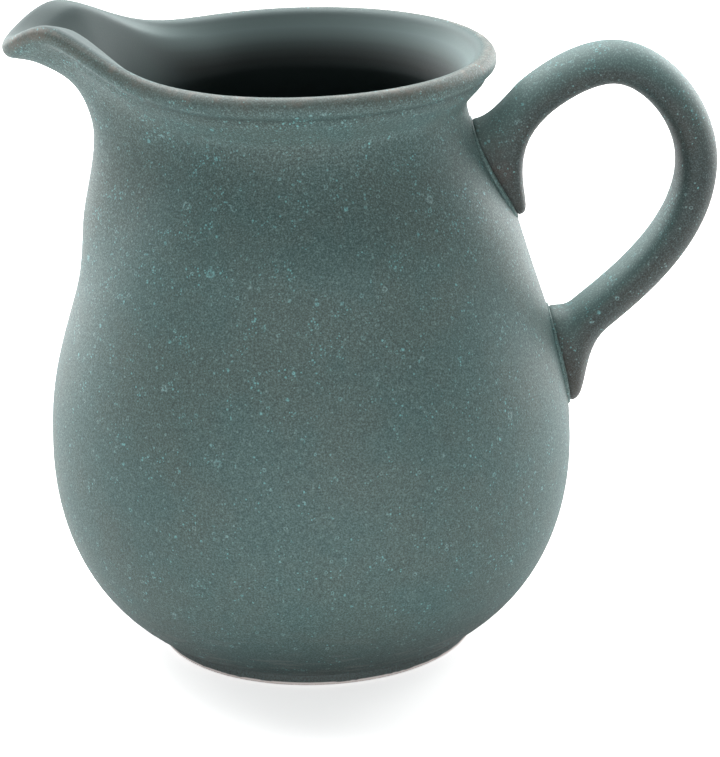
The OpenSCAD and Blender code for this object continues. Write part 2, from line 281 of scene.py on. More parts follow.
# %% Join the curves into the two outlines
def whole_line(flare, lip, inside_flare, out):
    """An outline from its curves, with the throat pulled out by some distance."""
    before = underside + [base + aim(base_slope) * EDGE] + low_wall
    outer = run(belly_curve, SIDE_STEPS + 2) + run(shoulder_curve, SIDE_STEPS)
    inner = run(inner_shoulder, SIDE_STEPS - 2) + run(inner_belly, SIDE_STEPS - 1)
    rim = run(flare, FLARE_STEPS) + lip + run(inside_flare, FLARE_STEPS)
    return before + pulled(outer, out) + rim + pulled(inner, out) + inside_low + floor_run


side_line = whole_line(flare_curve, bead(lip_mid, -lip_flare), inner_flare, 0)
spout_line = whole_line(spout_flare, bead(tip_mid, -math.pi / 2), inner_spout_flare, throat_out)
lip_first = len(underside) + 1 + len(low_wall) + SIDE_STEPS + 2 + SIDE_STEPS + FLARE_STEPS
lip_last = lip_first + BEAD_STEPS
print("points in each outline:", len(side_line), len(spout_line), "- lip from", lip_first, "to", lip_last)

# %% [markdown]
# ## The crease under the lip
# When a potter folds the rim over and presses it with a chamois, the roll keeps a soft crease beneath
# it. It could be a bump in the glaze, but it shows on the outline too, so the outline itself is pressed
# in: each point just below the roll moves along its own normal, and the roll above it swells a little.
# The crease nearly runs out on the spout, because the potter's finger has smoothed it away there.

# %% Press the crease into both outlines
CREASE_DEPTH = 0.95 * MM
CREASE_BELOW = 2.1 * MM
CREASE_WIDTH = 1.3 * MM
ROLL_SWELL = 0.25
SWELL_PLACE = 0.4
SPOUT_CREASE = 0.15 * MM
PLAIN_FLARE = 18 * MM


def pressed(line, depth):
    """The outline with a soft crease just below the lip's roll, and the crease's share at each point."""
    below = {lip_first: 0.0}
    for k in range(lip_first - 1, lip_first - FLARE_STEPS - 1, -1):
        below[k] = below[k + 1] + (line[k] - line[k + 1]).length
    length = below[lip_first - FLARE_STEPS]
    scale = max(1.0, length / PLAIN_FLARE)
    width = CREASE_WIDTH * scale
    result = [point.copy() for point in line]
    shares = [0.0] * len(line)
    for k, distance in below.items():
        along = (line[k + 1] - line[k - 1]).normalized()
        inward = Vector((-along.y, along.x))
        groove = math.exp(-(((distance - CREASE_BELOW * scale) / width) ** 2))
        swell = math.exp(-(((distance - SWELL_PLACE * CREASE_BELOW * scale) / width) ** 2))
        result[k] += inward * depth * (groove - ROLL_SWELL * swell)
        shares[k] = groove
    return result, shares


side_line, crease_shares = pressed(side_line, CREASE_DEPTH)
spout_line, _ = pressed(spout_line, SPOUT_CREASE)
print("deepest part of the crease:", round(CREASE_DEPTH / MM, 2), "mm")

# %% [markdown]
# ## Turning the wall
# `bmesh.ops.spin` does what the wheel does. It copies the outline step by step round the axis and joins
# the copies with faces. A point can carry numbers of its own in vertex layers, and spin copies them
# along. Three of them say where the point goes when the spout is pulled: its twin in the spout's outline
# and its share of the lip's rise. The others stay on the mesh as attributes that the glaze reads, such
# as how far inside a point lies, or whether it is on the lip's roll, in its crease or low on the wall.

# %% Layers that the points carry
SPIN_STEPS = 132
AXIS = Vector((0, 0, 1))
WELD = 0.01 * MM
LIFT_POWER = 1.1
LINING_DEPTH = 16 * MM
TURNED_HEIGHT = 26 * MM


def lift_share(height):
    """How much of the lip's rise a ring takes, from none at the neck to all at the lip."""
    top = (lip_mid + lip_side).y
    return clamp01((height - neck_z) / (top - neck_z)) ** LIFT_POWER


def float_layer(mesh, name):
    return mesh.verts.layers.float.get(name) or mesh.verts.layers.float.new(name)


wall_mesh = bmesh.new()
SHAPE_LAYERS = ("spout_r", "spout_z", "lip_share")
GLAZE_LAYERS = ("lining", "depth", "crowd", "turned", "pulled", "roll", "crest", "crease")
wall_layers = {name: float_layer(wall_mesh, name) for name in SHAPE_LAYERS + GLAZE_LAYERS}
print("layers on the wall:", sorted(wall_layers))

# %% Draw the outline and spin it
ROLL_MIDDLE, ROLL_SPREAD = 0.44, 0.36
CREST_PLACE, CREST_SPREAD = 0.62, 0.1
LINING_START, LINING_FADE = 0.62, 0.25


def wall_values(k, side, spout):
    """What the point numbered k of the outline carries in its layers."""
    over_lip = (k - lip_first) / BEAD_STEPS
    return {
        "spout_r": spout.x,
        "spout_z": spout.y,
        "lip_share": lift_share(side.y),
        "lining": smooth(clamp01((over_lip - LINING_START) / LINING_FADE)),
        "depth": clamp01((lip_z + lip_bead - side.y) / LINING_DEPTH),
        "crowd": smooth(clamp01((side.y - belly_z) / (neck_z - belly_z))),
        "turned": smooth(clamp01(1 - (side.y - foot_h) / TURNED_HEIGHT)),
        "roll": smooth(clamp01(1 - abs(over_lip - ROLL_MIDDLE) / ROLL_SPREAD)),
        "crest": clamp01(1 - abs(over_lip - CREST_PLACE) / CREST_SPREAD),
        "crease": crease_shares[k],
    }


def turn_round(mesh, outline, next_points):
    """Joins each point of an outline to the next one, and turns the outline into a surface."""
    edges = [mesh.edges.new(pair) for pair in zip(outline, next_points)]
    whole = {"cent": (0, 0, 0), "axis": AXIS, "angle": math.tau, "steps": SPIN_STEPS}
    bmesh.ops.spin(mesh, geom=outline + edges, use_merge=True, use_duplicate=False, **whole)
    bmesh.ops.remove_doubles(mesh, verts=mesh.verts, dist=WELD)


outline = []
for k, (side, spout) in enumerate(zip(side_line, spout_line)):
    vert = wall_mesh.verts.new((side.x, 0, side.y))
    for name, value in wall_values(k, side, spout).items():
        vert[wall_layers[name]] = value
    outline.append(vert)
turn_round(wall_mesh, outline, outline[1:])
print("turned wall:", len(wall_mesh.verts), "points,", len(wall_mesh.faces), "faces")

# %% [markdown]
# ## Pulling the spout
# The rings are round now. Each point is looked up by its angle from the spout's middle. Seen from above,
# a ring that is pulled out becomes a circle with two straight sides that meet in a rounded nose, and the
# rim rises to a wing on each side of it. The stations are first crowded towards the spout, because the
# nose is tight and the back of the pitcher is plain.

# %% Pull the throat and the spout out of the rings
ANGLE_POWER = 1.25
FALL_POWER = 1.5
ROUND_TOL = 0.001 * MM
CREASE_LOSS, CREASE_FADE = 0.8, 6
LINING_SPREAD = 2.5


def lip_lift(angle):
    """Rise of the lip at an angle from the middle of the spout."""
    if abs(angle) < wing_angle:
        return tip_rise + (wing_rise - tip_rise) * smooth(abs(angle) / wing_angle)
    return wing_rise * math.exp(-(((abs(angle) - wing_angle) / wing_fall) ** FALL_POWER))


def plan_radius(radius, reach, angle, nose):
    """Radius of a pulled ring at an angle: a circle, two straight sides and a rounded nose."""
    if reach - radius < ROUND_TOL:
        return radius
    side = math.acos(radius / reach) + nose - math.hypot(angle, nose)
    return radius / math.cos(max(0.0, side))


def pull_spout(mesh):
    """Moves every point from its round ring to its place on the pulled wall."""
    for vert in mesh.verts:
        radius = math.hypot(vert.co.x, vert.co.y)
        if radius < ROUND_TOL:
            continue
        height = vert.co.z
        turn = math.atan2(-vert.co.y, -vert.co.x) / math.pi
        angle = math.copysign(math.pi * abs(turn) ** ANGLE_POWER, turn)
        share = vert[wall_layers["lip_share"]]
        reach = vert[wall_layers["spout_r"]]
        width = plan_radius(radius, reach, angle, nose_throat + (nose_lip - nose_throat) * share)
        blend = (width - radius) / (reach - radius) if reach - radius > ROUND_TOL else 0
        height += (vert[wall_layers["spout_z"]] - height) * blend + lip_lift(angle) * share
        vert[wall_layers["crease"]] *= 1 - CREASE_LOSS * clamp01(CREASE_FADE * blend)
        vert[wall_layers["pulled"]] = smooth(clamp01(LINING_SPREAD * blend))
        vert.co = (-width * math.cos(angle), -width * math.sin(angle), height)


pull_spout(wall_mesh)
bmesh.ops.recalc_face_normals(wall_mesh, faces=wall_mesh.faces)
reach_now = min(vert.co.x for vert in wall_mesh.verts)
print("spout reaches", round(-reach_now / MM, 1), "mm from the axis")

# %% [markdown]
# ## Making a piece of it
# A bmesh is only a working copy. This helper writes it to a mesh object at the origin, unturned and
# unscaled, shades it smooth, adds one level of subdivision so that no facet shows, parents it to the
# frame's root body and hides the frame's solid that it stands for.

# %% Helpers that put things in the scene and finish a piece
def into_scene(name, data):
    """A new object in the scene."""
    made = bpy.data.objects.new(name, data)
    bpy.context.scene.collection.objects.link(made)
    return made


def finish_piece(name, mesh, stands_for, levels=1, drop=()):
    """A named object from a bmesh, riding on the root body in place of a solid of the frame."""
    for layer in drop:
        mesh.verts.layers.float.remove(mesh.verts.layers.float[layer])
    data = bpy.data.meshes.new(name)
    mesh.to_mesh(data)
    mesh.free()
    data.polygons.foreach_set("use_smooth", [True] * len(data.polygons))
    piece = into_scene(name, data)
    if levels:
        modifier = piece.modifiers.new("Rounding", "SUBSURF")
        modifier.levels = levels
        modifier.render_levels = levels
    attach(piece, "root")
    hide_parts(stands_for)
    print(name, "has", len(data.polygons), "faces before rounding")
    return piece


# %% Finish the wall
wall = finish_piece("pitcher_wall", wall_mesh, stands_for="body", drop=SHAPE_LAYERS)

# %% [markdown]
# ## The foot ring
# The foot is trimmed on the upturned pot when the clay is leather hard. It stands a little in from the
# wall, its outer face is glazed, and its lowest edge is wiped clean so that it doesn't stick to the kiln
# shelf. It is a second outline, turned the same way as the wall.

# %% Turn the foot ring
foot_inner = foot_r - 5.4 * MM
FOOT_ROUND = 0.9 * MM
SEAT = 0.3 * MM

foot_line = [
    Vector((foot_inner, foot_h + SEAT)),
    Vector((foot_inner + 0.1 * MM, foot_h - 0.8 * MM)),
    Vector((foot_inner + 0.9 * MM, 0.35 * MM)),
    Vector((foot_inner + 1.5 * MM, 0)),
    Vector((foot_r - FOOT_ROUND - 0.8 * MM, 0)),
]
foot_line += [
    Vector((foot_r - FOOT_ROUND, FOOT_ROUND)) + FOOT_ROUND * aim(math.radians(angle))
    for angle in (-90, -60, -30, 0)
]
foot_line += [
    Vector((foot_r, foot_h - 0.9 * MM)),
    Vector((foot_r - 0.15 * MM, foot_h - 0.3 * MM)),
    Vector((foot_r - 0.3 * MM, foot_h + SEAT)),
]

foot_mesh = bmesh.new()
ring = [foot_mesh.verts.new((point.x, 0, point.y)) for point in foot_line]
turn_round(foot_mesh, ring, ring[1:] + ring[:1])
bmesh.ops.recalc_face_normals(foot_mesh, faces=foot_mesh.faces)
foot = finish_piece("foot", foot_mesh, stands_for="foot_ring")

# %% [markdown]
# ## Where the handle meets the wall
# The strap's two roots lie on the curve of the wall, so the wall's outer radius is needed at any height.
# Python's own interpolation over the outline gives it. The roots' outline is a rounded oval drawn on that
# surface, and the same oval, a little larger, is where the slip squeezes out.

# %% The wall's radius at a height, and the roots' outlines on it
STRAP_SIDES = 28
WALL_SAMPLES = 40

wall_heights = [
    (point.y, point.x)
    for curve in (foot_curve, belly_curve, shoulder_curve)
    for point in run(curve, WALL_SAMPLES)
]


def wall_radius(height):
    """Outer radius of the wall at a height, on the handle's side."""
    for (z0, r0), (z1, r1) in zip(wall_heights, wall_heights[1:]):
        if z0 <= height <= z1:
            return r0 + (r1 - r0) * (height - z0) / (z1 - z0)
    return neck_r


def on_wall(across, height, off):
    """The point of the wall at a distance across and a height, standing off it by off."""
    radius = wall_radius(height) + off
    return Vector((math.sqrt(radius * radius - across * across), across, height))


def signed_power(value, power):
    return math.copysign(abs(value) ** power, value)


def root_outline(middle_z, up, grow, off, sides=STRAP_SIDES):
    """The outline of a root on the wall. Its first point is the one nearest the strap's outer side."""
    points = []
    for i in range(sides):
        angle = math.tau * i / sides
        across = (root_w / 2 + grow) * signed_power(math.sin(angle), 0.8)
        along = (root_len / 2 + grow) * signed_power(math.cos(angle), 0.9)
        points.append(on_wall(across, middle_z + up * along, off))
    return points


print("wall radius behind the roots:", [round(wall_radius(z) / MM, 1) for z in (upper_root_z, lower_root_z)])

# %% [markdown]
# ## The strap handle
# A handle is pulled from a lump of clay with a wet hand, which gives a strap with a rounded section. Its
# middle line is three curves in the plane of the spout and the handle: up to the arch, over it, and down
# to the lower root. A path and a bevelled curve object could make a plain tube, but the ends have to
# widen and lie down on the wall. So a ring of points is extruded station by station, which lets each
# ring be placed exactly. Two layers go to the glaze: how near a root a point is, and how far it faces up.

# %% The middle line and the rings along it
upper_start = Vector((wall_radius(upper_root_z) - 2 * MM, upper_root_z + root_len * 0.25))
lower_end = Vector((wall_radius(lower_root_z), lower_root_z + root_len * 0.18))
arch = Vector((arch_x, arch_z))
outermost = Vector((handle_reach, handle_z))

rise_curve = [
    upper_start,
    upper_start + strap_t * 1.2 * aim(math.radians(50)),
    arch - Vector(((arch_x - upper_start.x) * 0.34, 0)),
    arch,
]
over_curve = [
    arch,
    arch + Vector(((handle_reach - arch_x) * 0.48, 0)),
    outermost + Vector((0, (arch_z - handle_z) * 0.5)),
    outermost,
]
fall_curve = [
    outermost,
    outermost - Vector((0, (handle_z - lower_end.y) * 0.46)),
    lower_end + strap_t * 1.4 * aim(math.radians(38)),
    lower_end,
]
RISE_START = 0.42
FALL_END = 0.80
RISE_STEPS = 7
OVER_STEPS = 12
FALL_STEPS = 12
SECTION_SKEW = 0.2


def strap_ring(curve, t):
    """One ring of the strap: an oval, fuller towards the finger side."""
    middle = at(curve, t)
    ahead = heading(curve, t)
    outward = Vector((-ahead.y, ahead.x))
    points = []
    for i in range(STRAP_SIDES):
        angle = math.tau * i / STRAP_SIDES
        out = strap_t / 2 * (math.cos(angle) - SECTION_SKEW * math.sin(angle) ** 2)
        place = middle + outward * out
        points.append(Vector((place.x, strap_w / 2 * math.sin(angle), place.y)))
    return points


rise_shares = [RISE_START + (1 - RISE_START) * i / RISE_STEPS for i in range(RISE_STEPS)]
strap_rings = [strap_ring(rise_curve, share) for share in rise_shares]
strap_rings += [strap_ring(over_curve, i / OVER_STEPS) for i in range(OVER_STEPS)]
strap_rings += [strap_ring(fall_curve, FALL_END * i / FALL_STEPS) for i in range(FALL_STEPS + 1)]
print("plain rings on the strap:", len(strap_rings))

# %% Rings that lie down on the wall at both roots
ROOT_STEPS = 8
ROOT_SWELL = 0.42
ROOT_SINK = 0.9 * MM
ROOT_TUCK = 0.6 * MM


def root_rings(first, ahead, outline, outer_pull, inner_pull, tip_swell=0.0):
    """Rings from the strap's last section down to a root's outline on the wall."""
    rings = []
    for k in range(1, ROOT_STEPS + 1):
        points = []
        for i, (start, end) in enumerate(zip(first, outline)):
            weight = (1 - math.cos(math.tau * i / STRAP_SIDES)) / 2
            pull = strap_t * (outer_pull + (inner_pull - outer_pull) * weight)
            out = Vector((end.x, end.y, 0)).normalized()
            swell = strap_t * (ROOT_SWELL + tip_swell * weight)
            curve = [start, start + pull * ahead, end + swell * out, end]
            points.append(at(curve, k / ROOT_STEPS))
        rings.append(points)
    return rings


def flat_to_space(direction):
    return Vector((direction.x, 0, direction.y))


upper_rings = root_rings(
    strap_rings[0],
    flat_to_space(-heading(rise_curve, RISE_START)),
    root_outline(upper_root_z, 1, 0, slip_t),
    outer_pull=0.35,
    inner_pull=1.6,
    tip_swell=0.1,
)
lower_rings = root_rings(
    strap_rings[-1],
    flat_to_space(heading(fall_curve, FALL_END)),
    root_outline(lower_root_z, -1, 0, slip_t),
    outer_pull=0.8,
    inner_pull=0.35,
)
upper_end_ring = root_outline(upper_root_z, 1, -ROOT_TUCK, -ROOT_SINK)
lower_end_ring = root_outline(lower_root_z, -1, -ROOT_TUCK, -ROOT_SINK)
all_rings = [upper_end_ring] + upper_rings[::-1] + strap_rings + lower_rings + [lower_end_ring]
print("rings in all:", len(all_rings))

# %% Extrude the strap through its rings
strap_mesh = bmesh.new()
root_layer = float_layer(strap_mesh, "root")
bmesh.ops.create_circle(strap_mesh, cap_ends=True, segments=STRAP_SIDES, radius=strap_w / 2)
strap_mesh.faces.ensure_lookup_table()
face = strap_mesh.faces[0]
for vert, place in zip(face.verts, all_rings[0]):
    vert.co = place
    vert[root_layer] = 1.0
for k, places in enumerate(all_rings[1:], start=1):
    extruded = bmesh.ops.extrude_discrete_faces(strap_mesh, faces=[face])
    face = extruded["faces"][0]
    from_end = min(k, len(all_rings) - 1 - k)
    for vert, place in zip(face.verts, places):
        vert.co = place
        vert[root_layer] = smooth(clamp01(1 - (from_end - 1) / (ROOT_STEPS - 2)))
print("strap:", len(strap_mesh.verts), "points,", len(strap_mesh.faces), "faces")
open_edges = [edge for edge in strap_mesh.edges if edge.is_boundary]
bmesh.ops.holes_fill(strap_mesh, edges=open_edges, sides=STRAP_SIDES)
bmesh.ops.recalc_face_normals(strap_mesh, faces=strap_mesh.faces)
strap_mesh.normal_update()
# How far each point faces up: crystals crowd there, and the glaze paints a highlight there
crowd_layer = float_layer(strap_mesh, "crowd")
for vert in strap_mesh.verts:
    vert[crowd_layer] = smooth(clamp01((vert.normal.z + 0.1) / 0.9))
strap = finish_piece("strap_handle", strap_mesh, stands_for="handle")

# %% [markdown]
# ## The slip round each root
# Slip is clay thinned with water, the potter's glue. Pressing the root home squeezes a narrow bead of it
# out all round, and a wet brush softens it but never quite hides it. Each bead is a closed ring: an
# outline on the wall is extruded through the points of a small rounded section, and the last loop is
# bridged to the first. It is lowest at the root's two ends, where the brush starts and stops, and a
# little noise keeps it looking worked by hand.

# %% Build a bead of slip round a root
BEAD_SIDES = 56
BEAD_SECTION = 8
BEAD_HIGH = 0.95 * MM
BEAD_WIDE = 1.2 * MM
BEAD_END = 0.25
BEAD_GROW = 0.1 * MM
BEAD_WOBBLE = 0.16 * MM
BEAD_NOISE = 1 / (5 * MM)


def slip_bead(name, middle_z, up, stands_for):
    """A closed bead of slip round a root's outline."""
    middle = on_wall(0, middle_z, 0)
    path = root_outline(middle_z, up, BEAD_GROW, 0, sides=BEAD_SIDES)
    loops = []
    for j in range(BEAD_SECTION):
        angle = math.tau * j / BEAD_SECTION
        loop = []
        for i, point in enumerate(path):
            out = Vector((point.x, point.y, 0)).normalized()
            across = point - middle
            across = (across - out * across.dot(out)).normalized()
            wobble = BEAD_WOBBLE * noise.noise(point * BEAD_NOISE)
            share = BEAD_END + (1 - BEAD_END) * abs(math.sin(math.tau * i / BEAD_SIDES))
            up_step = out * (BEAD_HIGH + wobble) * share * math.cos(angle)
            side_step = across * (BEAD_WIDE + wobble) * share * math.sin(angle)
            loop.append(point + up_step + side_step)
        loops.append(loop)
    mesh = bmesh.new()
    station_layer = float_layer(mesh, "station")
    first = bmesh.ops.create_circle(mesh, cap_ends=False, segments=BEAD_SIDES, radius=root_w)
    for k, vert in enumerate(first["verts"]):
        vert.co = loops[0][k]
        vert[station_layer] = k
    first_edges = list(mesh.edges)
    edges = first_edges
    for loop in loops[1:]:
        grown = bmesh.ops.extrude_edge_only(mesh, edges=edges)["geom"]
        edges = [item for item in grown if isinstance(item, bmesh.types.BMEdge)]
        for vert in (item for item in grown if isinstance(item, bmesh.types.BMVert)):
            vert.co = loop[round(vert[station_layer])]
    bmesh.ops.bridge_loops(mesh, edges=first_edges + edges)
    bmesh.ops.recalc_face_normals(mesh, faces=mesh.faces)
    return finish_piece(name, mesh, stands_for=stands_for, drop=("station",))


upper_slip = slip_bead("upper_slip_bead", upper_root_z, 1, "upper_slip")
lower_slip = slip_bead("lower_slip_bead", lower_root_z, -1, "lower_slip")

# %% [markdown]
# ## Helpers for node groups
# The glaze's effects are shader node groups: each has named inputs and outputs, is built once, and is
# placed in every material with its own values. Adding a node, a bit of arithmetic, a fade and a mix come
# up again and again, so each gets a small helper.

# %% Groups, sockets and nodes
def new_group(name, inputs, outputs):
    """An empty node group with its sockets; returns the group, its entry sockets and its exit sockets."""
    group = bpy.data.node_groups.new(name, "ShaderNodeTree")
    for label, kind, value in inputs:
        socket = group.interface.new_socket(name=label, in_out="INPUT", socket_type=kind)
        if value is not None:
            socket.default_value = value
    for label, kind in outputs:
        group.interface.new_socket(name=label, in_out="OUTPUT", socket_type=kind)
    entry = group.nodes.new("NodeGroupInput")
    leave = group.nodes.new("NodeGroupOutput")
    return group, entry.outputs, leave.inputs


def plug(tree, socket, value):
    """Links a socket's source, or sets its value."""
    if isinstance(value, bpy.types.NodeSocket):
        tree.links.new(value, socket)
    else:
        socket.default_value = value


def add(tree, kind, settings=None, **inputs):
    """A new node with its settings, and its inputs by name with underscores for spaces."""
    node = tree.nodes.new(kind)
    for key, value in (settings or {}).items():
        setattr(node, key, value)
    for key, value in inputs.items():
        plug(tree, node.inputs[key.replace("_", " ")], value)
    return node


def place(tree, group, **inputs):
    """A node group placed in a tree."""
    return add(tree, "ShaderNodeGroup", {"node_tree": group}, **inputs)


print("nodes can be added and plugged")

# %% Arithmetic, fades and mixes
COLOUR_FACTOR, COLOUR_A, COLOUR_B, COLOUR_RESULT = 0, 6, 7, 2


def maths(tree, operation, *values, kind="ShaderNodeMath"):
    """One step of arithmetic on its values."""
    node = add(tree, kind, {"operation": operation})
    for socket, value in zip(node.inputs, values):
        plug(tree, socket, value)
    return node.outputs[0]


def vectors(tree, operation, *values):
    return maths(tree, operation, *values, kind="ShaderNodeVectorMath")


def times(tree, first, *factors):
    """The product of a few values."""
    for factor in factors:
        first = maths(tree, "MULTIPLY", first, factor)
    return first


def scaled(tree, value, by, plus):
    """value * by + plus."""
    return maths(tree, "MULTIPLY_ADD", value, by, plus)


def fade(tree, value, start, end):
    """0 at start and 1 at end, smoothly, whichever of the two is larger."""
    node = add(tree, "ShaderNodeMapRange", {"interpolation_type": "SMOOTHSTEP"}, Value=value)
    plug(tree, node.inputs["From Min"], start)
    plug(tree, node.inputs["From Max"], end)
    return node.outputs["Result"]


def noise_field(tree, where, size, detail, roughness=0.5):
    """Noise with features of a real size; returns its outputs."""
    kind = "ShaderNodeTexNoise"
    return add(tree, kind, Vector=where, Scale=1 / size, Detail=detail, Roughness=roughness).outputs


def mix_colour(tree, factor, a, b):
    node = add(tree, "ShaderNodeMix", {"data_type": "RGBA"})
    plug(tree, node.inputs[COLOUR_FACTOR], factor)
    plug(tree, node.inputs[COLOUR_A], a)
    plug(tree, node.inputs[COLOUR_B], b)
    return node.outputs[COLOUR_RESULT]


def new_material(name):
    """A material with its node tree and its shader."""
    material = bpy.data.materials.new(name)
    material.use_nodes = True
    return material, material.node_tree, material.node_tree.nodes["Principled BSDF"]


print("arithmetic, fades and mixes are ready")

# %% [markdown]
# ## Crystals in the glaze
# A satin glaze like this one is cooled slowly, and small crystals grow in it. Some stay dots, some
# gather, and the larger ones grow as a ring with a dark heart. A Voronoi texture scatters one point in
# each cell of space, which is just how crystals seed. Each cell's random colour decides whether it holds
# a crystal, how large it is and whether it is hollow, and noise makes its edge ragged.

# %% Group: crystals
crystals, entry, leave = new_group(
    "Glaze crystals",
    inputs=[
        ("Vector", "NodeSocketVector", None),
        ("Spacing", "NodeSocketFloat", 0.003),
        ("Radius", "NodeSocketFloat", 0.0006),
        ("Chance", "NodeSocketFloat", 0.4),
        ("Hollow", "NodeSocketFloat", 0.0),
        ("Ragged", "NodeSocketFloat", 0.0004),
    ],
    outputs=[("Mask", "NodeSocketFloat"), ("Shade", "NodeSocketFloat")],
)
RAGGED_SIZE = 0.9 * MM
ragged = noise_field(crystals, entry["Vector"], RAGGED_SIZE, detail=2.0, roughness=0.6)
centred = vectors(crystals, "SUBTRACT", ragged["Color"], (0.5, 0.5, 0.5))
pushed = vectors(crystals, "MULTIPLY_ADD", centred, entry["Ragged"], entry["Vector"])
density = maths(crystals, "DIVIDE", 1.0, entry["Spacing"])
cells = add(crystals, "ShaderNodeTexVoronoi", {"feature": "F1"}, Vector=pushed, Scale=density)
luck = add(crystals, "ShaderNodeSeparateColor", Color=cells.outputs["Color"])
present = maths(crystals, "LESS_THAN", luck.outputs["Red"], entry["Chance"])
growth = scaled(crystals, luck.outputs["Green"], by=0.7, plus=0.3)
radius = times(crystals, maths(crystals, "DIVIDE", entry["Radius"], entry["Spacing"]), growth)
distance = cells.outputs["Distance"]
spot = fade(crystals, distance, radius, times(crystals, radius, 0.55))
heart = fade(crystals, distance, times(crystals, radius, 0.7), times(crystals, radius, 0.35))
is_hollow = maths(crystals, "LESS_THAN", luck.outputs["Blue"], entry["Hollow"])
spot = maths(crystals, "SUBTRACT", spot, times(crystals, heart, is_hollow))
spot.node.use_clamp = True
plug(crystals, leave["Mask"], times(crystals, spot, present))
plug(crystals, leave["Shade"], luck.outputs["Blue"])
print("crystal group nodes:", len(crystals.nodes))

# %% [markdown]
# ## Grain, salt and clouds
# Between the crystals the glaze is never one colour. Fine grain comes from crystals too small to see one
# by one, and its peaks stand out like salt. Slow clouds show where the glaze lay thicker, and noise of a
# middle size says where crystals gather. All are plain values, for colour, roughness and relief alike.

# %% Group: grain, salt and clouds
grain_group, entry, leave = new_group(
    "Glaze grain",
    inputs=[("Vector", "NodeSocketVector", None)],
    outputs=[(label, "NodeSocketFloat") for label in ("Grain", "Salt", "Clouds", "Gather")],
)
GRAIN_SIZE = 0.44 * MM
CLOUD_SIZE = 26 * MM
GATHER_SIZE = 6 * MM

fine = noise_field(grain_group, entry["Vector"], GRAIN_SIZE, detail=3.0, roughness=0.7)["Fac"]
slow = noise_field(grain_group, entry["Vector"], CLOUD_SIZE, detail=4.0, roughness=0.6)["Fac"]
middling = noise_field(grain_group, entry["Vector"], GATHER_SIZE, detail=3.0, roughness=0.6)["Fac"]
for label, source, start, end in (
    ("Grain", fine, 0.34, 0.66),
    ("Salt", fine, 0.54, 0.66),
    ("Clouds", slow, 0.36, 0.64),
    ("Gather", middling, 0.47, 0.66),
):
    plug(grain_group, leave[label], fade(grain_group, source, start, end))
print("grain group nodes:", len(grain_group.nodes))

# %% [markdown]
# ## The satin glaze
# The body, the handle and the slip carry the same glaze, so one function makes their materials and only
# the amounts change. It is built up as on the pot: the ground, then what the shape did to it in the kiln,
# then the crystals on top. The colours are darker than they look, since satin adds a pale reflection.

# %% Colours of the glaze
TEAL_GROUND = (0.037, 0.075, 0.073, 1)
BROWN_GROUND = (0.046, 0.070, 0.064, 1)
STRAP_GROUND = (0.014, 0.022, 0.022, 1)
STRAP_BROWN = (0.026, 0.026, 0.023, 1)
PALE_CRYSTAL = (0.18, 0.29, 0.28, 1)
PALE_DOT = (0.30, 0.45, 0.45, 1)
BRIGHT_CRYSTAL = (0.19, 0.52, 0.53, 1)
THIN_BROWN = (0.150, 0.132, 0.110, 1)
CREST_PALE = (0.42, 0.38, 0.35, 1)
# Colour of the crease: glaze pooled there, and painted shade
CREASE_POOL_AND_SHADE = (0.016, 0.030, 0.029, 1)
ROOT_RUST = (0.090, 0.048, 0.036, 1)
LOW_WALL = (0.044, 0.050, 0.050, 1)
TURNED_PALE = (0.20, 0.21, 0.205, 1)
SPOUT_LINING = (0.112, 0.15, 0.148, 1)
LINING_TINT = (0.72, 1.0, 0.985)
# Painted light and shade down the lining by depth: paler just below the lip, darker down the neck
LINING_DOWN = (1.2, 2.4, 4.5, 6.5, 8.5, 10.5, 12.5, 15.6)
LINING_PAINTED_SHADES = (0.17, 0.22, 0.25, 0.18, 0.092, 0.048, 0.028, 0.045)
print("shades down the lining:", len(LINING_PAINTED_SHADES))

# %% [markdown]
# ## What the glaze reads
# A pattern in space comes from Object coordinates. What follows the shape comes from the points' layers,
# which an Attribute node reads by name. Both are gathered once for each material.

# %% Sources of a coat
CREASE_CROWD = 0.7
BARE_ROLL = 0.75


def coat_sources(tree, layers, crowding):
    """The place on the piece, the values of the grain group and the layers that the piece has, by name."""
    where = add(tree, "ShaderNodeTexCoord").outputs["Object"]
    coat = dict(place(tree, grain_group, Vector=where).outputs.items())
    coat["where"] = where
    for name in layers:
        coat[name] = add(tree, "ShaderNodeAttribute", {"attribute_name": name}).outputs["Fac"]
    coat["crowded"] = scaled(tree, coat["crowd"], by=crowding[1], plus=crowding[0])
    return coat


def crystal_chance(tree, coat, amount):
    """How likely a crystal is: crowded in the crease, sparse on the roll, and none inside."""
    chance = times(tree, scaled(tree, coat["Gather"], by=0.75, plus=0.30), coat["crowded"], amount)
    if "lining" in coat:
        bare = maths(tree, "MAXIMUM", coat["lining"], times(tree, coat["roll"], BARE_ROLL))
        chance = scaled(tree, coat["crease"], by=CREASE_CROWD, plus=chance)
        chance = times(tree, chance, maths(tree, "SUBTRACT", 1.0, bare))
    return chance


print("a coat can read the layers:", GLAZE_LAYERS)

# %% [markdown]
# ## The ground and the lining
# The ground is two colours in slow clouds, with grain and salt over them, and a painted highlight, a paler
# ground, where the handle faces up. The inside has a smoother grey green lining, with painted light just
# below the lip and painted shade darker down the neck, and one even colour in the spout.

# %% Ground of a coat
def lining_colour_and_shade(tree, coat):
    """Colour of the inside by depth below the lip, with painted light just below it and painted shade down
    the neck, and one even colour in the spout.
    """
    ramp = add(tree, "ShaderNodeValToRGB", Fac=coat["depth"])
    stops = ramp.color_ramp.elements
    while len(stops) < len(LINING_PAINTED_SHADES):
        stops.new(0.5)
    for stop, down, shade in zip(stops, LINING_DOWN, LINING_PAINTED_SHADES):
        stop.position = down * MM / LINING_DEPTH
        stop.color = [shade * part for part in LINING_TINT] + [1]
    return mix_colour(tree, coat["pulled"], ramp.outputs["Color"], SPOUT_LINING)


